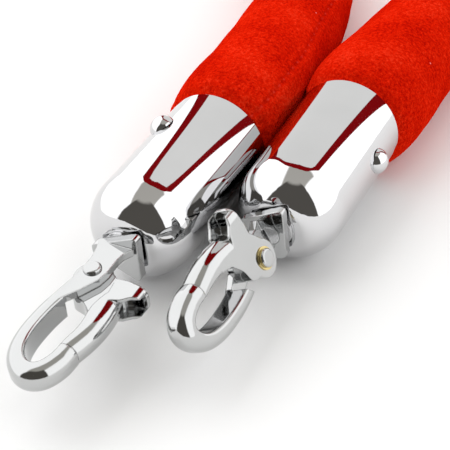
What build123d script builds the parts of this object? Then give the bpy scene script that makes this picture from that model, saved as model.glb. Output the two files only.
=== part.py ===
from build123d import *
import math
import os

# Velvet barrier rope with a bell cap and a swivelling snap hook at each end.
# Millimetres. +Z is up and the floor is z = 0. Both caps lie along Y: the hooks point to -Y
# and the rope leaves towards +Y, loops round and comes back to the second cap.

# Driving dimensions
CAP_RADIUS = 19.0            # outer radius at the cap's open rim
CAP_DOME_START_RADIUS = 18.0
CAP_STRAIGHT = 50.2          # rim to the start of the dome
CAP_LENGTH = 64.6
CAP_WALL = 1.2
CAP_FLAT_RADIUS = 6.6        # flat at the middle of the domed end
CAP_SPACING = 38.6           # distance between the two cap axes
CAP_SETBACK = 29.0           # how far cap b stands behind cap a
HOOK_REACH = 60.9            # dome end to the far end of the hook ring
ROPE_RADIUS = 19.0
NECK_RADIUS = 16.8           # rope squeezed inside the cap
SLEEVE_THICKNESS = 1.8

# Cap fittings
STUD_RADIUS = 3.0
RUNNING_GAP = 0.05
STUD_HEAD_RADIUS = 5.0
STUD_HEAD_HEIGHT = 1.5
WASHER_RADIUS = 6.0
WASHER_THICKNESS = 1.0
END_PLAY = 0.1
PLUG_LENGTH = 40.0
NECK_DEPTH = 44.0            # how deep the rope end sits in the cap
RIVET_SHANK_RADIUS = 1.6
RIVET_HEAD_RADIUS = 4.5
RIVET_HEAD_HEIGHT = 3.5      # its lower part is bedded on the cap's curved wall
RIVET_SEAT = -0.6            # foot of the head, below the tangent to the wall
RIVET_FROM_RIM = 19.6
RIVET_DEPTH = 12.0           # how far the rivet reaches in from the cap's outside
RIVET_ANGLE = {"a": 125.0, "b": 9.0}  # about the cap's axis, from +X up towards +Z
RIVET_STANDOUT = 2.69        # how far cap b's rivet reaches past the cap towards +X
PLUG_CHAMFER = 1.5
RIM_ROUND = 0.4

# Snap hook, measured from the dome end: a runs outwards along the cap axis, t towards the
# thumb tab and n across the hook's thickness
HALF_THICKNESS = 4.2
CHEEK_TOP_N = 1.6            # the gate's cheek lies below this, the shank plate above it
CHEEK_GAP = 0.12             # clearance between the gate's cheek and the shank plate
FLANGE_NEAR = WASHER_THICKNESS + 2 * END_PLAY
FLANGE_THICKNESS = 3.0
FLANGE_T = 7.8               # the wide edge of the three-cornered flange
FLANGE_HALF_N = 8.8
FLANGE_TIP_T = -8.8
FLANGE_TIP_HALF_N = 1.6
FLANGE_ROUND = 1.3
SHANK_ROUND = 0.9
PIVOT_A = 16.6
PIVOT_T = -0.3
PIN_RADIUS = 1.9
PIN_TAIL_RADIUS = 2.9        # peened end on the shank plate
PIN_TAIL_HEIGHT = 1.0
PIN_TAIL_ROUND = 0.8
PIN_HEAD_RADIUS = 3.0        # head on the gate's side
PIN_HEAD_HEIGHT = 1.1
PIN_HEAD_ROUND = 0.6
BUSH_RADIUS = 2.9
BUSH_RIM_RADIUS = 3.7
BUSH_RIM_HEIGHT = 0.4
HUB_RADIUS = 6.1
RING_THICKNESS = 5.4
RING_WIDTH = 8.4
RING_OUTER_ROUND = 3.4
INNER_ROUND = 0.9            # ring and gate arm, on the side of the opening
ARM_CROWN_RADIUS = 3.9       # round over the gate arm's outer face
SEAM_A = 46.7                # where the gate's nose meets the hook's tip
SEAM_GAP = 0.15
TAB_TOP = 19.9
TAB_TOP_ROUND = 3.2
SCOOP_HALF_WIDTH = 3.1       # hollow in the thumb tab's face
SCOOP_DEPTH = 7.5
SCOOP_ROUND = 0.8

# Gate spring: a torsion coil round the pin, in a pocket in the gate's hub
SPRING_WIRE_RADIUS = 0.35
SPRING_COIL_RADIUS = 3.2
SPRING_POCKET_RADIUS = 4.6
SPRING_POCKET_FLOOR_N = -2.7
SPRING_PITCH = 0.8
SPRING_TURNS = 4.0

# Roll of each hook about its cap axis: the angle from straight up to the thumb tab
ROLL_A = -87.0
ROLL_B = 30.0

AXIS_HEIGHT = CAP_RADIUS
OVERALL_Y = CAP_SETBACK + CAP_LENGTH + HOOK_REACH
RIM_Y = {"a": OVERALL_Y / 2 - CAP_SETBACK, "b": OVERALL_Y / 2}
# The origin is under the middle of the caps' and hooks' box, which takes in cap b's rivet
AXIS_X = {"a": -(CAP_SPACING + RIVET_STANDOUT) / 2, "b": (CAP_SPACING - RIVET_STANDOUT) / 2}
ROLL = {"a": ROLL_A, "b": ROLL_B}
ENDS = ("a", "b")

# Centre line of the free rope on the floor, from the rim of cap a round to the rim of cap b
ROPE_ROUTE = [
    (AXIS_X["a"], RIM_Y["a"]),
    (AXIS_X["a"], 78.0),
    (-24.8, 124.0),
    (-35.3, 170.0),
    (-54.3, 224.0),
    (-82.3, 290.0),
    (-114.3, 363.0),
    (-133.3, 437.0),
    (-133.3, 504.0),
    (-103.3, 561.0),
    (-49.3, 598.0),
    (14.7, 605.0),
    (75.7, 580.0),
    (116.7, 531.0),
    (130.7, 467.0),
    (116.7, 394.0),
    (91.7, 328.0),
    (60.7, 266.0),
    (36.7, 214.0),
    (23.2, 164.0),
    (AXIS_X["b"], 118.0),
    (AXIS_X["b"], RIM_Y["b"]),
]
BEND_SHARE = 0.45            # share of the shorter run that a bend takes up

HOOK_PLANE = Plane(origin=(0, 0, 0), x_dir=(0, 0, 1), z_dir=(0, 1, 0))


def write(shape, node):
    export_step(shape, f"parts/{node}.step")


def cap_frame(end):
    """Frame at the centre of a cap's rim: local Z runs out along the cap towards the hook."""
    return Plane(origin=(AXIS_X[end], RIM_Y[end], AXIS_HEIGHT), x_dir=(1, 0, 0), z_dir=(0, -1, 0))


def hook_frame(end):
    """Frame at the dome's end: local X is t, local Y is n and local Z is a."""
    roll = math.radians(ROLL[end])
    tab = (-math.sin(roll), 0, math.cos(roll))
    origin = (AXIS_X[end], RIM_Y[end] - CAP_LENGTH, AXIS_HEIGHT)
    return Plane(origin=origin, x_dir=tab, z_dir=(0, -1, 0))


def disc(radius, low, high, inner=0.0):
    """Round plate or ring about local Z."""
    height = high - low
    body = Pos(0, 0, low + height / 2) * Cylinder(radius, height)
    if inner:
        body -= Pos(0, 0, low + height / 2) * Cylinder(inner, height + 1)
    return body


def dome_face(inset, outer_flat):
    """Half section of the solid bell, moved in by inset, in the X-Z plane."""
    rim = (CAP_RADIUS - inset, 0)
    shoulder = (CAP_DOME_START_RADIUS - inset, CAP_STRAIGHT)
    top = (outer_flat, CAP_LENGTH - inset)
    outline = [
        Line((0, 0), rim),
        Line(rim, shoulder),
        EllipticalCenterArc(
            (outer_flat, CAP_STRAIGHT), shoulder[0] - outer_flat,
            CAP_LENGTH - inset - CAP_STRAIGHT, arc_size=90,
        ),
        Line(top, (0, CAP_LENGTH - inset)),
        Line((0, CAP_LENGTH - inset), (0, 0)),
    ]
    return Plane.XZ * make_face(outline)


def end_cap(end):
    bell = revolve(dome_face(0, CAP_FLAT_RADIUS), Axis.Z)
    hollow = revolve(dome_face(CAP_WALL, CAP_FLAT_RADIUS), Axis.Z)
    shell = bell - hollow
    rim_edges = shell.edges().filter_by(GeomType.CIRCLE).group_by(Axis.Z)[0]
    shell = fillet(rim_edges, RIM_ROUND)
    shell -= disc(STUD_RADIUS + RUNNING_GAP, CAP_LENGTH - 2 * CAP_WALL, CAP_LENGTH + CAP_WALL)
    return shell - rivet_hole(end)


def rivet_axis(end):
    """Place on the cap's side wall, in the cap's frame, with local Z pointing out of the cap."""
    return Rot(0, 0, RIVET_ANGLE[end]) * Pos(CAP_RADIUS, 0, RIVET_FROM_RIM) * Rot(0, 90, 0)


def rivet_shank(end, radius):
    """Round bar from the cap's outside inwards."""
    return rivet_axis(end) * Pos(0, 0, -RIVET_DEPTH / 2) * Cylinder(radius, RIVET_DEPTH)


def rivet_hole(end):
    return rivet_shank(end, RIVET_SHANK_RADIUS + RUNNING_GAP)


def cap_rivet(end):
    """Dome-headed rivet. Its head beds on the cap's curved wall."""
    ball_radius = (RIVET_HEAD_RADIUS ** 2 + RIVET_HEAD_HEIGHT ** 2) / (2 * RIVET_HEAD_HEIGHT)
    ball = Pos(0, 0, RIVET_SEAT + RIVET_HEAD_HEIGHT - ball_radius) * Sphere(ball_radius)
    above_seat = Pos(0, 0, RIVET_SEAT + ball_radius) * Box(4 * ball_radius, 4 * ball_radius, 2 * ball_radius)
    wall = Pos(0, 0, CAP_STRAIGHT / 2) * Cone(CAP_RADIUS, CAP_DOME_START_RADIUS, CAP_STRAIGHT)
    head = (rivet_axis(end) * (ball & above_seat)) - wall
    return head + rivet_shank(end, RIVET_SHANK_RADIUS)


def end_plug(end):
    plug = disc(NECK_RADIUS - SLEEVE_THICKNESS, NECK_DEPTH - PLUG_LENGTH, NECK_DEPTH)
    plug = chamfer(plug.edges().group_by(Axis.Z)[-1], PLUG_CHAMFER)
    return plug - rivet_hole(end)


def swivel_stud():
    """Headed stud, screwed into the hook's flange from inside the cap, on which the hook swivels."""
    inner_seat = -CAP_WALL - WASHER_THICKNESS - END_PLAY
    shank = disc(STUD_RADIUS, inner_seat, FLANGE_NEAR + FLANGE_THICKNESS)
    return shank + disc(STUD_HEAD_RADIUS, inner_seat - STUD_HEAD_HEIGHT, inner_seat)


def washer(low):
    return disc(WASHER_RADIUS, low, low + WASHER_THICKNESS, STUD_RADIUS + RUNNING_GAP)


def ring_path():
    """Centre line of the hook's C: back bar, rounded end and the tip at the seam."""
    back_bar = [(21.0, -1.2), (30.0, -4.0), (40.0, -4.8), (50.0, -3.6)]
    round_end = [(56.3, 0.2), (58.2, 4.6), (56.0, 8.6), (51.4, 10.5)]
    return Spline(*back_bar, *round_end, (SEAM_A, 10.8), tangents=[(0.93, -0.37), (-1, 0)])


def ring_bar():
    """Bar with a crowned outer side, swept along the C. The section's +Y side is the outer one."""
    path = HOOK_PLANE * ring_path()
    section = Rectangle(RING_WIDTH, RING_THICKNESS)
    section = fillet(section.vertices().group_by(Axis.Y)[-1], RING_OUTER_ROUND)
    section = fillet(section.vertices().group_by(Axis.Y)[0], INNER_ROUND)
    return sweep(Plane(origin=path @ 0, x_dir=(0, 1, 0), z_dir=path % 0) * section, path)


def plate(outline, low, high):
    """Flat plate between two heights across the hook, from a closed list of (a, t) points."""
    face = make_face(Polyline(*outline, close=True))
    return extrude(HOOK_PLANE * Pos(0, 0, low) * face, high - low, dir=(0, 1, 0))


def on_pivot(radius, low, high, inner=0.0):
    """Round piece about the gate's pivot."""
    body = disc(radius, low, high, inner)
    return Pos(PIVOT_T, 0, PIVOT_A) * Rot(-90, 0, 0) * body


def flange():
    """Three-cornered plate that turns against the cap's washer."""
    corners = [(FLANGE_T, FLANGE_HALF_N), (FLANGE_TIP_T, FLANGE_TIP_HALF_N),
               (FLANGE_TIP_T, -FLANGE_TIP_HALF_N), (FLANGE_T, -FLANGE_HALF_N)]
    body = Pos(0, 0, FLANGE_NEAR) * extrude(make_face(Polyline(*corners, close=True)), FLANGE_THICKNESS)
    return fillet(body.edges().filter_by(Axis.Z), FLANGE_ROUND)


def hook_body():
    base = FLANGE_NEAR + FLANGE_THICKNESS / 2
    outline = [
        (base, -6.4), (7.4, -4.6), (12.0, -3.6), (17.0, -3.4), (22.0, -3.7), (26.0, -4.3),
        (33.5, -5.2), (34.0, -3.8), (29.5, -1.0), (25.8, 1.4), (20.0, 4.1), (16.0, 4.7),
        (10.0, 4.4), (7.0, 4.8), (base, 7.2),
    ]
    shank = plate(outline, CHEEK_TOP_N + CHEEK_GAP, HALF_THICKNESS)
    shank = fillet(shank.edges().filter_by(Axis.Y), SHANK_ROUND)
    behind_gate = [(10.0, -10.0), (22.9, -10.0), (33.2, 2.0), (10.0, 2.0)]
    shoulder = plate(behind_gate, -HALF_THICKNESS - 1, CHEEK_TOP_N + CHEEK_GAP)
    body = (ring_bar() - shoulder) + shank + flange()
    body -= disc(STUD_RADIUS, FLANGE_NEAR - 1, FLANGE_NEAR + FLANGE_THICKNESS + 1)
    body -= on_pivot(PIN_RADIUS, -HALF_THICKNESS, HALF_THICKNESS + 1)
    return body


def gate_arm_face():
    """Curved arm from the nose back to the thumb tab, in the hook's plane."""
    nose_a = SEAM_A - SEAM_GAP
    outer_points = [(nose_a, 13.5), (40.0, 14.9), (32.0, 15.3), (24.0, 14.2)]
    inner_points = [(nose_a, 8.1), (38.0, 8.8), (31.5, 7.9), (24.0, 8.8)]
    outer = Spline(*outer_points, tangents=[(-1, 0.25), (-1, -0.2)])
    inner = Spline(*inner_points, tangents=[(-1, 0.05), (-1, 0.25)])
    nose = Line(outer @ 0, inner @ 0)
    root = Line(outer @ 1, inner @ 1)
    return make_face([outer, nose, inner, root])


def gate_cheek_face():
    """Hub round the pivot and the web that joins it to the arm."""
    inner_points = [(21.4, -3.5), (26.0, -1.8), (27.6, 2.6), (30.6, 6.6), (36.0, 8.8)]
    web_inner = Spline(*inner_points, tangents=[(0.9, 0.3), (1, 0.3)])
    arm_side = [(34.0, 10.2), (26.0, 10.2), (23.4, 11.4), (21.0, 13.0), (18.0, 12.6)]
    hub_side = [(17.2, 9.4), (14.8, 6.6), (12.9, 4.2)]
    rest = Polyline(web_inner @ 1, *arm_side, *hub_side, web_inner @ 0)
    return make_face([web_inner] + list(rest.edges())) + Pos(PIVOT_A, PIVOT_T) * Circle(HUB_RADIUS)


def across(face, low, high):
    """Extrude a face of the hook's plane between two heights across the hook."""
    return extrude(HOOK_PLANE.offset(low) * face, high - low, dir=(0, 1, 0))


def thumb_tab():
    """Leaning tab with a rounded top and a scooped face towards the hook's end."""
    rear = [(17.6, 8.6), (17.2, 13.0), (18.4, TAB_TOP)]
    front = [(21.8, TAB_TOP), (23.4, 16.5), (25.4, 14.4), (27.0, 10.0)]
    slab = across(make_face(Polyline(*rear, *front, close=True)), -RING_WIDTH / 2, RING_WIDTH / 2)
    arch_face = Rectangle(2 * TAB_TOP, RING_WIDTH)
    arch_face = fillet(arch_face.vertices(), TAB_TOP_ROUND)
    slab &= extrude(arch_face, 2 * TAB_TOP)
    floor_t = TAB_TOP - SCOOP_DEPTH
    hollow = [(19.6, TAB_TOP + 1), (19.2, floor_t + 2), (20.4, floor_t), (28.0, floor_t), (28.0, TAB_TOP + 1)]
    scoop = across(make_face(Polyline(*hollow, close=True)), -SCOOP_HALF_WIDTH, SCOOP_HALF_WIDTH)
    return slab - fillet(scoop.edges().filter_by(Axis.Y), SCOOP_ROUND)


def is_arm_corner(edge):
    """True on the long edges of the arm, which run along the hook on both of its sides."""
    middle = edge.center()
    return abs(middle.Y) > RING_WIDTH / 2 - RUNNING_GAP


def gate_arm():
    arm = across(gate_arm_face(), -RING_WIDTH / 2, RING_WIDTH / 2)
    long_edges = arm.edges().filter_by(is_arm_corner).filter_by(GeomType.BSPLINE)
    arm_middle_t = arm.center().X
    arm = fillet(long_edges.filter_by(lambda edge: edge.center().X > arm_middle_t), ARM_CROWN_RADIUS)
    inner_edges = arm.edges().filter_by(is_arm_corner).filter_by(GeomType.BSPLINE)
    return fillet(inner_edges.filter_by(lambda edge: edge.center().X < arm_middle_t - 1), INNER_ROUND)


def gate():
    cheek = across(gate_cheek_face(), -HALF_THICKNESS, CHEEK_TOP_N)
    lever = gate_arm() + cheek + thumb_tab()
    lever -= on_pivot(BUSH_RADIUS, -HALF_THICKNESS - 1, CHEEK_TOP_N + 1)
    return lever - on_pivot(SPRING_POCKET_RADIUS, SPRING_POCKET_FLOOR_N, CHEEK_TOP_N + 1)


def gate_bush():
    bore = PIN_RADIUS + RUNNING_GAP
    barrel = on_pivot(BUSH_RADIUS, -HALF_THICKNESS, SPRING_POCKET_FLOOR_N, bore)
    return barrel + on_pivot(BUSH_RIM_RADIUS, -HALF_THICKNESS - BUSH_RIM_HEIGHT, -HALF_THICKNESS, bore)


def gate_pin():
    low = -HALF_THICKNESS - BUSH_RIM_HEIGHT - END_PLAY
    head = on_pivot(PIN_HEAD_RADIUS, low - PIN_HEAD_HEIGHT, low)
    head = fillet(head.edges().filter_by(GeomType.CIRCLE).sort_by(Axis.Y)[0], PIN_HEAD_ROUND)
    tail = on_pivot(PIN_TAIL_RADIUS, HALF_THICKNESS, HALF_THICKNESS + PIN_TAIL_HEIGHT)
    tail = fillet(tail.edges().filter_by(GeomType.CIRCLE).sort_by(Axis.Y)[-1], PIN_TAIL_ROUND)
    return on_pivot(PIN_RADIUS, low, HALF_THICKNESS) + head + tail


def gate_spring():
    """Torsion coil round the pin, in the pocket of the gate's hub. Its legs are left out."""
    coil = Helix(SPRING_PITCH, SPRING_PITCH * SPRING_TURNS, SPRING_COIL_RADIUS)
    section = Plane(origin=coil @ 0, z_dir=coil % 0) * Circle(SPRING_WIRE_RADIUS)
    wire = sweep(section, coil, is_frenet=True)
    base = SPRING_POCKET_FLOOR_N + SPRING_WIRE_RADIUS + END_PLAY
    return Pos(PIVOT_T, base, PIVOT_A) * Rot(-90, 0, 0) * wire


def bend_radii(corners):
    """Radius of the arc at each inner corner: as large as the shorter run beside it allows."""
    radii = []
    for before, here, after in zip(corners, corners[1:], corners[2:]):
        half_turn = math.radians((here - before).get_angle(after - here)) / 2
        shorter = min((here - before).length, (after - here).length)
        radii.append(BEND_SHARE * shorter / math.tan(half_turn))
    return radii


def rope_path():
    corners = [Vector(x, y, AXIS_HEIGHT) for x, y in ROPE_ROUTE]
    return FilletPolyline(*corners, radius=bend_radii(corners))


def rope_tube(radius):
    path = rope_path()
    section = Plane(origin=path @ 0, x_dir=(1, 0, 0), z_dir=path % 0) * Circle(radius)
    return sweep(section, path)


def print_rope_figures():
    path = rope_path()
    radii = bend_radii([Vector(x, y) for x, y in ROPE_ROUTE])
    section_area = math.pi * ROPE_RADIUS ** 2
    print("rope bend radii", [round(radius) for radius in radii])
    print("rope length", round(path.length, 1))
    volume_share = rope_tube(ROPE_RADIUS).volume / (section_area * path.length)
    print("tube volume over section times length", round(volume_share, 4))


def rope_inside():
    """Space inside the velvet: it narrows at each cap's rim and carries on into the cap."""
    inner_neck = NECK_RADIUS - SLEEVE_THICKNESS
    inside = rope_tube(ROPE_RADIUS - SLEEVE_THICKNESS)
    for end in ENDS:
        inside -= cap_frame(end) * disc(ROPE_RADIUS, -SLEEVE_THICKNESS, SLEEVE_THICKNESS)
        inside += cap_frame(end) * disc(inner_neck, -SLEEVE_THICKNESS, NECK_DEPTH)
    return inside


def velvet_sleeve():
    outside = rope_tube(ROPE_RADIUS)
    for end in ENDS:
        outside += cap_frame(end) * disc(NECK_RADIUS, 0, NECK_DEPTH)
    sleeve = outside - rope_inside()
    for end in ENDS:
        sleeve -= cap_frame(end) * rivet_hole(end)
    return sleeve


def rope_core():
    core = rope_inside()
    for end in ENDS:
        core -= cap_frame(end) * disc(NECK_RADIUS, NECK_DEPTH - PLUG_LENGTH, NECK_DEPTH)
    return core


def write_end(end):
    cap = cap_frame(end)
    hook = hook_frame(end)
    write(cap * end_cap(end), f"end_cap_{end}")
    write(cap * cap_rivet(end), f"cap_rivet_{end}")
    write(cap * end_plug(end), f"end_plug_{end}")
    write(hook * swivel_stud(), f"swivel_stud_{end}")
    write(hook * washer(END_PLAY), f"swivel_washer_{end}")
    write(hook * washer(-CAP_WALL - END_PLAY / 2 - WASHER_THICKNESS), f"backing_washer_{end}")
    write(hook * hook_body(), f"hook_body_{end}")
    write(hook * gate(), f"gate_{end}")
    write(hook * gate_bush(), f"gate_bush_{end}")
    write(hook * gate_pin(), f"gate_pin_{end}")
    write(hook * gate_spring(), f"gate_spring_{end}")


if __name__ == "__main__":
    os.makedirs("parts", exist_ok=True)
    print_rope_figures()
    write(velvet_sleeve(), "velvet_sleeve")
    write(rope_core(), "rope_core")
    for end_name in ENDS:
        write_end(end_name)
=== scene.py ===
import math

import bmesh
import bpy
from mathutils import Matrix, Vector, noise

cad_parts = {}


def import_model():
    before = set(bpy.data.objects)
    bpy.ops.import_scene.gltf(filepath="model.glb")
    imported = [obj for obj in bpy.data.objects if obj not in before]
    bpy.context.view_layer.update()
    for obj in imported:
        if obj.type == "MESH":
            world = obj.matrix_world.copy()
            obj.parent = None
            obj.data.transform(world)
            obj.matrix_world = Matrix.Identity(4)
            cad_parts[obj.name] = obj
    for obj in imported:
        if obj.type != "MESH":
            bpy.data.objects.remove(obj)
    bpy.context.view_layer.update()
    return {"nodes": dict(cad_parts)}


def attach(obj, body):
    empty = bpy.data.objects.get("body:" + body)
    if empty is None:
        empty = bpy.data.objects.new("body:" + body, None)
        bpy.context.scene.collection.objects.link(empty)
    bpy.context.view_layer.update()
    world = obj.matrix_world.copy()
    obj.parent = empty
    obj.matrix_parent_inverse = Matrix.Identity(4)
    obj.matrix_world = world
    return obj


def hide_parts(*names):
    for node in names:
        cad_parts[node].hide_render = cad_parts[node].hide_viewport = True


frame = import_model()

# ---- sizes: lengths in metres, angles in radians -----------------------------------------
AXIS_Z = 0.019

# The rope's nominal diameter, and the velvet's own radius
ROPE_R = 0.0202

# The rope's shape beside a cap: pinched at the rim, then swelling and fading away
PINCH_DEPTH, PINCH_LENGTH = 0.0022, 0.0030
SWELL_HEIGHT, SWELL_START, SWELL_LENGTH = 0.0025, 0.012, 0.070

# Lumps of the filling, large and small, as (how many to the metre, height), and gathers at a rim
BIG_LUMPS = (26.0, 0.0009)
SMALL_LUMPS = (70.0, 0.00035)
GATHERS, GATHER_HEIGHT, GATHER_LENGTH = 19, 0.00028, 0.009
GATHER_WANDER, GATHER_WANDER_SCALE = 4, 40.0

# The sewn seam: where it starts and how it winds, then its valley, its ridge and its stitches
SEAM_START = math.radians(43.0)
SEAM_WIND = 1.0
SLOW_WANDER, QUICK_WANDER = (0.02, 60), (0.012, 143)
VALLEY_DEPTH, VALLEY_WIDTH = 0.00040, 0.045
RIDGE_HEIGHT, RIDGE_PLACE, RIDGE_WIDTH = 0.0003, 0.13, 0.07
STITCH = 0.0046
STITCH_HEIGHT, STITCH_SPREAD, STITCH_WIDTH = 0.00018, 0.08, 0.028
# Width of the painted shade along the seam's valley
SEAM_SHADE_WIDTH = 0.05

# Where the rope rests on the floor, and where its two ends press together
REST_Z, REST_SLOPE = 0.0004, 0.15
BETWEEN_CAPS_X = -0.00135
PRESSED_UNTIL_Y, PRESSED_GAP = 0.16, 0.0001

# The velvet mesh: points to a ring, and the step from ring to ring near a cap and elsewhere
RING_POINTS = 256
FINE_STEP, COARSE_STEP, FINE_UNTIL = 0.0010, 0.0036, 0.16
LAST_STEP = 0.0004

# The rope's route on the floor, from cap a round to cap b
ROUTE = [
    (-0.0206, 0.0483), (-0.0213, 0.070), (-0.0246, 0.112), (-0.0324, 0.162), (-0.0534, 0.224),
    (-0.0823, 0.290), (-0.1143, 0.363), (-0.1333, 0.437), (-0.1333, 0.504), (-0.1033, 0.561),
    (-0.0493, 0.598), (0.0147, 0.605), (0.0757, 0.580), (0.1167, 0.531), (0.1307, 0.467),
    (0.1167, 0.394), (0.0917, 0.328), (0.0607, 0.266), (0.0367, 0.214), (0.0232, 0.164),
    (0.0199, 0.118), (0.0180, 0.0773),
]


# ---- node helpers -----------------------------------------------------------------------
# Sockets of the mix node when it mixes colours
MIX_A, MIX_B, MIX_RESULT = 6, 7, 2


class Nodes:
    """A material's node tree, with short calls to add and join nodes."""

    def __init__(self, name):
        self.mat = bpy.data.materials.new(name)
        self.mat.use_nodes = True
        self.tree = self.mat.node_tree
        self.bsdf = self.tree.nodes["Principled BSDF"]
        self.coord = self.tree.nodes.new("ShaderNodeTexCoord").outputs["Object"]

    def add(self, kind, **values):
        node = self.tree.nodes.new(kind)
        for key, value in values.items():
            setattr(node, key, value)
        return node

    def link(self, source, target):
        self.tree.links.new(source, target)

    def noise(self, scale, detail=2.0, rough=0.5, stretch=None):
        node = self.add("ShaderNodeTexNoise")
        node.inputs["Scale"].default_value = scale
        node.inputs["Detail"].default_value = detail
        node.inputs["Roughness"].default_value = rough
        source = self.coord
        if stretch:
            mapping = self.add("ShaderNodeMapping")
            mapping.inputs["Scale"].default_value = stretch
            self.link(self.coord, mapping.inputs["Vector"])
            source = mapping.outputs["Vector"]
        self.link(source, node.inputs["Vector"])
        return node.outputs["Fac"]

    def ramp(self, source, stops):
        node = self.add("ShaderNodeValToRGB")
        ramp = node.color_ramp
        while len(ramp.elements) < len(stops):
            ramp.elements.new(0.5)
        for element, (place, value) in zip(ramp.elements, stops):
            element.position = place
            colour = value if isinstance(value, tuple) else (value, value, value)
            element.color = (*colour, 1.0)
        self.link(source, node.inputs["Fac"])
        return node.outputs["Color"]

    def mix(self, factor, one, two, blend="MIX"):
        node = self.add("ShaderNodeMix", data_type="RGBA", blend_type=blend)
        sockets = (node.inputs["Factor"], node.inputs[MIX_A], node.inputs[MIX_B])
        for socket, value in zip(sockets, (factor, one, two)):
            if isinstance(value, (int, float)):
                socket.default_value = value
            elif isinstance(value, tuple):
                socket.default_value = (*value, 1.0)
            else:
                self.link(value, socket)
        return node.outputs[MIX_RESULT]

    def bump(self, height, strength, distance, normal=None):
        node = self.add("ShaderNodeBump")
        node.inputs["Strength"].default_value = strength
        node.inputs["Distance"].default_value = distance
        self.link(height, node.inputs["Height"])
        if normal:
            self.link(normal, node.inputs["Normal"])
        return node.outputs["Normal"]


def chrome(name, colour, rough_low, rough_high, wave=0.0, edge=0.0):
    """Plated or turned metal with faint hairline scuffs in its roughness.

    A wave makes the surface very slightly uneven, and an edge rounds its corners in the shading.
    """
    n = Nodes(name)
    n.bsdf.inputs["Metallic"].default_value = 1.0
    cloudy = n.noise(38.0, detail=3.0)
    tone = n.ramp(cloudy, [(0.35, colour), (0.7, tuple(c * 0.95 for c in colour))])
    n.link(tone, n.bsdf.inputs["Base Color"])
    scuffs = n.noise(900.0, detail=4.0, rough=0.7, stretch=(1.0, 0.12, 1.0))
    haze = n.noise(55.0, detail=3.0)
    both = n.mix(0.45, haze, scuffs)
    rough = n.ramp(both, [(0.38, rough_low), (0.72, rough_high)])
    n.link(rough, n.bsdf.inputs["Roughness"])
    normal = None
    if edge:
        bevel = n.add("ShaderNodeBevel", samples=6)
        bevel.inputs["Radius"].default_value = edge
        normal = bevel.outputs["Normal"]
    if wave:
        uneven = n.noise(120.0, detail=1.0)
        normal = n.bump(uneven, strength=0.25, distance=wave, normal=normal)
    if normal:
        n.link(normal, n.bsdf.inputs["Normal"])
    return n.mat


# The velvet's shades, from the shadowed pile to the brushed-up pile
VELVET_SHADES = [
    (0.36, (0.42, 0.003, 0.0006)), (0.45, (0.60, 0.008, 0.0009)),
    (0.54, (0.73, 0.014, 0.0016)), (0.64, (0.86, 0.034, 0.010)),
]
# Painted shade for the valley of the sewn seam
SEAM_SHADE_COLOUR = (0.34, 0.002, 0.001)
THREAD_COLOUR = (0.90, 0.09, 0.06)
LINT_COLOUR = (0.85, 0.30, 0.30)
SHEEN_TINT = (1.0, 0.03, 0.004, 1.0)


def velvet():
    """Short red pile: brushed light and dark patches, fine nap, a thin sewn seam with painted shade in
    its valley, light stitches and a little lint.
    """
    n = Nodes("red_velvet")
    pile = n.noise(2300.0, detail=3.0, rough=0.6)
    grain = n.noise(850.0, detail=3.0, rough=0.7)
    brushed = n.noise(48.0, detail=2.0, rough=0.5)
    colour = n.ramp(n.mix(0.66, brushed, grain), VELVET_SHADES)
    nap = n.ramp(pile, [(0.3, 0.74), (0.7, 1.0)])
    colour = n.mix(1.0, colour, nap, "MULTIPLY")
    # Painted shade along the seam's valley, strongest on the seam line
    seam = n.add("ShaderNodeAttribute", attribute_name="seam").outputs["Fac"]
    colour = n.mix(n.ramp(seam, [(0.2, 0.0), (1.0, 0.30)]), colour, SEAM_SHADE_COLOUR)
    stitch = n.add("ShaderNodeAttribute", attribute_name="stitch").outputs["Fac"]
    worn = n.mix(0.35, stitch, n.noise(700.0, detail=1.0, rough=0.5))
    colour = n.mix(n.ramp(worn, [(0.38, 0.0), (0.80, 0.34)]), colour, THREAD_COLOUR)
    specks = n.add("ShaderNodeTexVoronoi", feature="F1")
    specks.inputs["Scale"].default_value = 95.0
    n.link(n.coord, specks.inputs["Vector"])
    lint = n.ramp(specks.outputs["Distance"], [(0.022, 0.8), (0.042, 0.0)])
    colour = n.mix(lint, colour, LINT_COLOUR)
    n.link(colour, n.bsdf.inputs["Base Color"])
    n.bsdf.inputs["Roughness"].default_value = 1.0
    n.bsdf.inputs["Specular IOR Level"].default_value = 0.0
    n.bsdf.inputs["Sheen Weight"].default_value = 0.18
    n.bsdf.inputs["Sheen Roughness"].default_value = 0.35
    n.bsdf.inputs["Sheen Tint"].default_value = SHEEN_TINT
    height = n.mix(0.5, grain, pile)
    n.link(n.bump(height, strength=0.7, distance=0.0006), n.bsdf.inputs["Normal"])
    return n.mat


def moulded(name, colour, rough, grain=500.0):
    """Moulded plastic with slight mottling and grain."""
    n = Nodes(name)
    mottled = n.noise(grain * 0.2, detail=3.0)
    tone = n.ramp(mottled, [(0.3, tuple(c * 0.85 for c in colour)), (0.7, colour)])
    n.link(tone, n.bsdf.inputs["Base Color"])
    fine = n.noise(grain, detail=3.0)
    n.link(n.ramp(fine, [(0.3, rough * 0.8), (0.7, min(1.0, rough * 1.3))]), n.bsdf.inputs["Roughness"])
    n.link(n.bump(n.noise(grain, detail=2.0), 0.3, 0.00005), n.bsdf.inputs["Normal"])
    return n.mat


# ---- pieces -----------------------------------------------------------------------------
def cord_line():
    """The rope's smooth centre line: its route's points control one NURBS spline."""
    curve = bpy.data.curves.new("rope_line", "CURVE")
    curve.dimensions = "3D"
    curve.resolution_u = 32
    spline = curve.splines.new("NURBS")
    spline.points.add(len(ROUTE) - len(spline.points))
    for point, (x, y) in zip(spline.points, ROUTE):
        point.co = (x, y, AXIS_Z, 1.0)
    spline.order_u = 3
    spline.use_endpoint_u = True
    holder = bpy.data.objects.new("rope_line", curve)
    bpy.context.scene.collection.objects.link(holder)
    bpy.context.view_layer.update()
    mesh = bpy.data.meshes.new_from_object(holder)
    points = [v.co.copy() for v in mesh.vertices]
    bpy.data.objects.remove(holder)
    bpy.data.meshes.remove(mesh)
    return points


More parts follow.
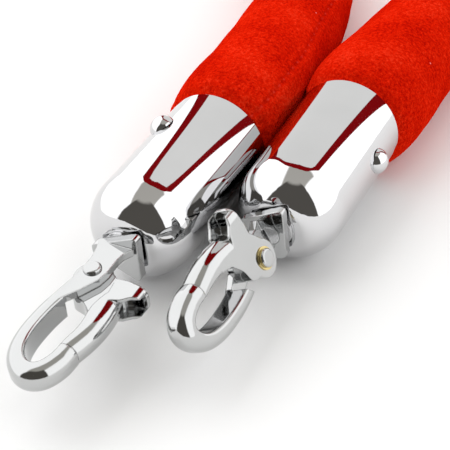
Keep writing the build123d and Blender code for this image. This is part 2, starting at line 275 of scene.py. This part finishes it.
def spread(points, step):
    """The line again, with its points step(place) apart, each point's place, and the length."""
    lengths = [0.0]
    for one, two in zip(points, points[1:]):
        lengths.append(lengths[-1] + (two - one).length)
    total = lengths[-1]
    places, place = [], 0.0
    while place < total - LAST_STEP:
        places.append(place)
        place += step(min(place, total - place))
    places.append(total)
    out, k = [], 0
    for place in places:
        while k < len(points) - 2 and lengths[k + 1] < place:
            k += 1
        share = (place - lengths[k]) / (lengths[k + 1] - lengths[k])
        out.append(points[k].lerp(points[k + 1], share))
    return out, places, total


def bell(distance, width):
    """One at no distance, falling smoothly to nothing over a few widths."""
    return math.exp(-(distance / width) ** 2)


def wander(place, amount, pace, start=0):
    """Slow swing of an angle along the rope."""
    return amount * math.sin(place * pace + start)


def rope_radius(gap):
    """Plain radius, pinched where it enters a cap and swelling just outside it."""
    pinch = bell(gap, PINCH_LENGTH) * PINCH_DEPTH
    swell = (1 - bell(gap, SWELL_START)) * bell(gap, SWELL_LENGTH) * SWELL_HEIGHT
    return ROPE_R - pinch + swell


def rope_bump(point, gap, angle):
    """Soft lumps of the filling under the velvet, and gathers where a cap grips it."""
    lump = 0.0
    for scale, height in (BIG_LUMPS, SMALL_LUMPS):
        lump += noise.noise(point * scale) * height
    shift = noise.noise(point * GATHER_WANDER_SCALE) * GATHER_WANDER
    gather = math.sin(angle * GATHERS + shift) * GATHER_HEIGHT * math.exp(-gap / GATHER_LENGTH)
    return lump + gather


def seam_offset(angle, place):
    """Angle from the sewn seam, which wanders slightly and winds slowly round the rope."""
    seam = SEAM_START + place * SEAM_WIND + wander(place, *SLOW_WANDER) + wander(place, *QUICK_WANDER, 1)
    return (angle - seam + math.pi) % (2 * math.pi) - math.pi


def stitch_wave(place):
    """Rises and falls once for each stitch."""
    return math.sin(place * 2 * math.pi / STITCH)


def dash(offset, place):
    """One at the middle of a stitch, falling to nothing between stitches and beside the seam."""
    return max(0.0, stitch_wave(place)) * bell(offset, STITCH_WIDTH)


def seam_height(offset, place):
    """Valley of the seam, puckered by its stitches, with the seam allowance as a ridge beside it."""
    valley = -VALLEY_DEPTH * bell(offset, VALLEY_WIDTH)
    ridge = RIDGE_HEIGHT * bell(offset - RIDGE_PLACE, RIDGE_WIDTH)
    pucker = STITCH_HEIGHT * stitch_wave(place) * bell(offset, STITCH_SPREAD)
    return valley + ridge + pucker


def settle(spot, first_half):
    """Flatten the rope where it rests on the floor, and where its two ends press together."""
    spot.z = max(spot.z, REST_Z + REST_SLOPE * max(0.0, spot.z))
    if spot.y < PRESSED_UNTIL_Y:
        if first_half:
            spot.x = min(spot.x, BETWEEN_CAPS_X - PRESSED_GAP)
        else:
            spot.x = max(spot.x, BETWEEN_CAPS_X + PRESSED_GAP)


def ring_step(gap):
    """Distance to the next ring of points: short near a cap."""
    return FINE_STEP if gap < FINE_UNTIL else COARSE_STEP


def across(points, i):
    """The two directions across the line at one of its points."""
    ahead = (points[min(len(points) - 1, i + 1)] - points[max(0, i - 1)]).normalized()
    side = ahead.cross(Vector((0, 0, 1))).normalized()
    return side, side.cross(ahead)


def close_up(mesh, rings, ends):
    """Faces between the rings, and a fan of faces over each end."""
    for one, two in zip(rings, rings[1:]):
        for k in range(RING_POINTS):
            j = (k + 1) % RING_POINTS
            mesh.faces.new((one[k], one[j], two[j], two[k]))
    for ring, point in zip((rings[0], rings[-1]), ends):
        centre = mesh.verts.new(point)
        for k in range(RING_POINTS):
            mesh.faces.new((ring[k], ring[(k + 1) % RING_POINTS], centre))
    bmesh.ops.recalc_face_normals(mesh, faces=mesh.faces)


def rope_sleeve(line):
    """The velvet: a tube that follows the line, with its seam marked for the material's painted shade
    and its stitches marked for thread colour.
    """
    points, places, length = spread(line, ring_step)
    mesh = bmesh.new()
    seam_shade_mark = mesh.verts.layers.float.new("seam")
    stitch_mark = mesh.verts.layers.float.new("stitch")
    rings = []
    for i, (point, place) in enumerate(zip(points, places)):
        gap = min(place, length - place)
        side, up = across(points, i)
        ring = []
        for k in range(RING_POINTS):
            angle = 2 * math.pi * k / RING_POINTS
            out = up * math.cos(angle) + side * math.sin(angle)
            offset = seam_offset(angle, place)
            radius = rope_radius(gap) + rope_bump(point + out * ROPE_R, gap, angle)
            radius += seam_height(offset, place)
            spot = point + out * radius
            settle(spot, place < length / 2)
            vert = mesh.verts.new(spot)
            # Closeness to the seam, which the material turns into painted shade
            vert[seam_shade_mark] = bell(offset, SEAM_SHADE_WIDTH)
            vert[stitch_mark] = dash(offset, place)
            ring.append(vert)
        rings.append(ring)
    close_up(mesh, rings, (points[0], points[-1]))
    data = bpy.data.meshes.new("rope_velvet")
    mesh.to_mesh(data)
    mesh.free()
    for face in data.polygons:
        face.use_smooth = True
    piece = bpy.data.objects.new("rope_velvet", data)
    bpy.context.scene.collection.objects.link(piece)
    return piece, length


# ---- build ------------------------------------------------------------------------------
line = cord_line()
rope, rope_length = rope_sleeve(line)
rope.data.materials.append(velvet())
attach(rope, "rope")
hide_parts("velvet_sleeve", "rope_core")

SHELL = chrome("polished_chrome_shell", (0.66, 0.66, 0.67), 0.02, 0.05)
CAST = chrome("polished_chrome_casting", (0.51, 0.515, 0.515), 0.03, 0.07,
              wave=0.00008, edge=0.0006)
STEEL = chrome("turned_steel", (0.70, 0.70, 0.71), 0.12, 0.25, edge=0.0002)
BRASS = chrome("turned_brass", (0.72, 0.58, 0.26), 0.14, 0.26, edge=0.0001)
PLUG = moulded("black_plastic", (0.03, 0.03, 0.032), 0.5)
FINISHES = {
    "end_cap": SHELL, "cap_rivet": SHELL, "hook_body": CAST, "gate": CAST, "gate_bush": BRASS,
    "gate_pin": CAST, "gate_spring": STEEL, "swivel_stud": STEEL, "swivel_washer": STEEL,
    "backing_washer": STEEL, "end_plug": PLUG,
}
for base, material in FINISHES.items():
    for end in "ab":
        node = frame["nodes"][f"{base}_{end}"]
        node.data.materials.clear()
        node.data.materials.append(material)


# ---- floor, light and camera ------------------------------------------------------------
FLOOR_SIZE = 8.0
FLOOR_COLOUR = (0.86, 0.86, 0.86, 1)

# Cards behind the caps: distance, left, right, bottom and top, radius of the upper corners
GREY_CARD = (0.150, -0.0934, 0.0587, 0.02, 0.215, 0.055)
GREY_CARD_COLOUR, GREY_CARD_STRENGTH = (0.95, 0.95, 0.93), 1.0
RED_BORDER = (0.151, -0.1190, 0.0817, 0.02, 0.330, 0.080)
RED_BORDER_COLOUR, RED_BORDER_STRENGTH = (0.30, 0.004, 0.006), 0.9
CORNER_STEPS = 6

KEY_ENERGY = 0.96
KEY_SPREAD = math.radians(70)
KEY_TILT = (math.radians(-18), math.radians(-22), 0)

# The light tent, and its darker patches as (side they face, how far round they start)
TENT_COLOUR, TENT_STRENGTH = (1.0, 1.0, 1.0), 1.7
PATCH_BLUR, ROOM_FLOOR_BLUR = 0.03, 0.01
OVERHEAD_SIDES = (((0, 0, 1), 0.80), ((1, 0, 0), -0.32), ((-1, 0, 0), -0.42), ((0, -1, 0), -0.62))
OVERHEAD_COLOUR = (0.32, 0.31, 0.285)
ROOM_SIDES = (((0.829, -0.559, 0), 0.0), ((-0.407, -0.914, 0), 0.0), ((0, 0, -1), -0.95))
ROOM_COLOUR = (0.062, 0.058, 0.052)

CAMERA_PLACE = (0.11335, -0.2157, 0.2199)
CAMERA_AZIMUTH = math.radians(26.37)
CAMERA_ELEVATION = math.radians(38.92)
CAMERA_ROLL = math.radians(0.42)
SENSOR_MM, LENS_MM = 36.0, 80.4


def floor():
    bpy.ops.mesh.primitive_plane_add(size=FLOOR_SIZE, location=(0, 0, 0))
    plane = bpy.context.object
    plane.name = "floor"
    n = Nodes("pale_floor")
    n.bsdf.inputs["Base Color"].default_value = FLOOR_COLOUR
    n.bsdf.inputs["Roughness"].default_value = 0.9
    n.bsdf.inputs["Specular IOR Level"].default_value = 0.1
    plane.data.materials.append(n.mat)


def card(name, corners, colour, strength):
    """Studio card that only shows in reflections."""
    data = bpy.data.meshes.new(name)
    data.from_pydata([Vector(c) for c in corners], [], [tuple(range(len(corners)))])
    piece = bpy.data.objects.new(name, data)
    bpy.context.scene.collection.objects.link(piece)
    mat = bpy.data.materials.new(name)
    mat.use_nodes = True
    tree = mat.node_tree
    tree.nodes.remove(tree.nodes["Principled BSDF"])
    glow = tree.nodes.new("ShaderNodeEmission")
    glow.inputs["Color"].default_value = (*colour, 1.0)
    glow.inputs["Strength"].default_value = strength
    tree.links.new(glow.outputs["Emission"], tree.nodes["Material Output"].inputs["Surface"])
    data.materials.append(mat)
    for kind in ("camera", "diffuse", "shadow", "transmission"):
        setattr(piece, "visible_" + kind, False)


def upright(name, size, colour, strength):
    """Card that stands across the caps, with its two upper corners rounded."""
    y, left, right, bottom, top, round_by = size
    corners = [(left, y, bottom), (right, y, bottom)]
    for centre_x, start in ((right - round_by, 0.0), (left + round_by, 90.0)):
        for step in range(CORNER_STEPS + 1):
            turn = math.radians(start + 90 / CORNER_STEPS * step)
            height = top - round_by + round_by * math.sin(turn)
            corners.append((centre_x + round_by * math.cos(turn), y, height))
    card(name, corners, colour, strength)


def cards():
    """The grey card behind the caps, and its dark red border."""
    upright("grey_card", GREY_CARD, GREY_CARD_COLOUR, GREY_CARD_STRENGTH)
    upright("red_border", RED_BORDER, RED_BORDER_COLOUR, RED_BORDER_STRENGTH)


def soft_key():
    """Wide soft light from overhead that brightens the cloth and the floor, and isn't reflected."""
    lamp = bpy.data.lights.new("soft_key", "SUN")
    lamp.energy = KEY_ENERGY
    lamp.angle = KEY_SPREAD
    holder = bpy.data.objects.new("soft_key", lamp)
    holder.rotation_euler = KEY_TILT
    holder.visible_glossy = False
    bpy.context.scene.collection.objects.link(holder)


def world():
    """White light tent, with the dark room showing on the camera's side and a grey patch overhead."""
    sky = bpy.data.worlds.new("studio")
    bpy.context.scene.world = sky
    sky.use_nodes = True
    tree = sky.node_tree
    back = tree.nodes["Background"]
    way = tree.nodes.new("ShaderNodeTexCoord").outputs["Generated"]

    def side(normal, edge, soft=PATCH_BLUR):
        dot = tree.nodes.new("ShaderNodeVectorMath")
        dot.operation = "DOT_PRODUCT"
        dot.inputs[1].default_value = normal
        tree.links.new(way, dot.inputs[0])
        ramp = tree.nodes.new("ShaderNodeMapRange")
        ramp.interpolation_type = "SMOOTHSTEP"
        ramp.inputs["From Min"].default_value = edge - soft
        ramp.inputs["From Max"].default_value = edge + soft
        tree.links.new(dot.outputs["Value"], ramp.inputs["Value"])
        return ramp.outputs["Result"]

    def all_of(masks):
        result = masks[0]
        for mask in masks[1:]:
            times = tree.nodes.new("ShaderNodeMath")
            times.operation = "MULTIPLY"
            tree.links.new(result, times.inputs[0])
            tree.links.new(mask, times.inputs[1])
            result = times.outputs["Value"]
        return result

    def blend(mask, under, over):
        mix = tree.nodes.new("ShaderNodeMix")
        mix.data_type = "RGBA"
        tree.links.new(mask, mix.inputs["Factor"])
        for socket, value in ((mix.inputs[MIX_A], under), (mix.inputs[MIX_B], over)):
            if isinstance(value, tuple):
                socket.default_value = (*value, 1.0)
            else:
                tree.links.new(value, socket)
        return mix.outputs[MIX_RESULT]

    overhead = all_of([side(*facing) for facing in OVERHEAD_SIDES])
    above_floor = side((0, 0, 1), 0.0, ROOM_FLOOR_BLUR)
    room = all_of([side(*facing) for facing in ROOM_SIDES] + [above_floor])
    colour = blend(overhead, TENT_COLOUR, OVERHEAD_COLOUR)
    colour = blend(room, colour, ROOM_COLOUR)
    tree.links.new(colour, back.inputs["Color"])
    back.inputs["Strength"].default_value = TENT_STRENGTH


def camera():
    """Long lens that looks down on the hooks from the right, with a slight roll."""
    level = math.cos(CAMERA_ELEVATION)
    forward = Vector((-math.sin(CAMERA_AZIMUTH) * level, math.cos(CAMERA_AZIMUTH) * level,
                      -math.sin(CAMERA_ELEVATION)))
    right = Vector((math.cos(CAMERA_AZIMUTH), math.sin(CAMERA_AZIMUTH), 0))
    down = forward.cross(right)
    cos_roll, sin_roll = math.cos(CAMERA_ROLL), math.sin(CAMERA_ROLL)
    right, down = (right * cos_roll + down * sin_roll, down * cos_roll - right * sin_roll)
    data = bpy.data.cameras.new("camera")
    data.sensor_width = SENSOR_MM
    data.lens = LENS_MM
    data.clip_start = 0.01
    holder = bpy.data.objects.new("camera", data)
    turn = Matrix((right, -down, -forward)).transposed()
    holder.matrix_world = Matrix.Translation(CAMERA_PLACE) @ turn.to_4x4()
    bpy.context.scene.collection.objects.link(holder)
    bpy.context.scene.camera = holder


floor()
cards()
soft_key()
world()
camera()
bpy.context.scene.view_settings.view_transform = "Standard"
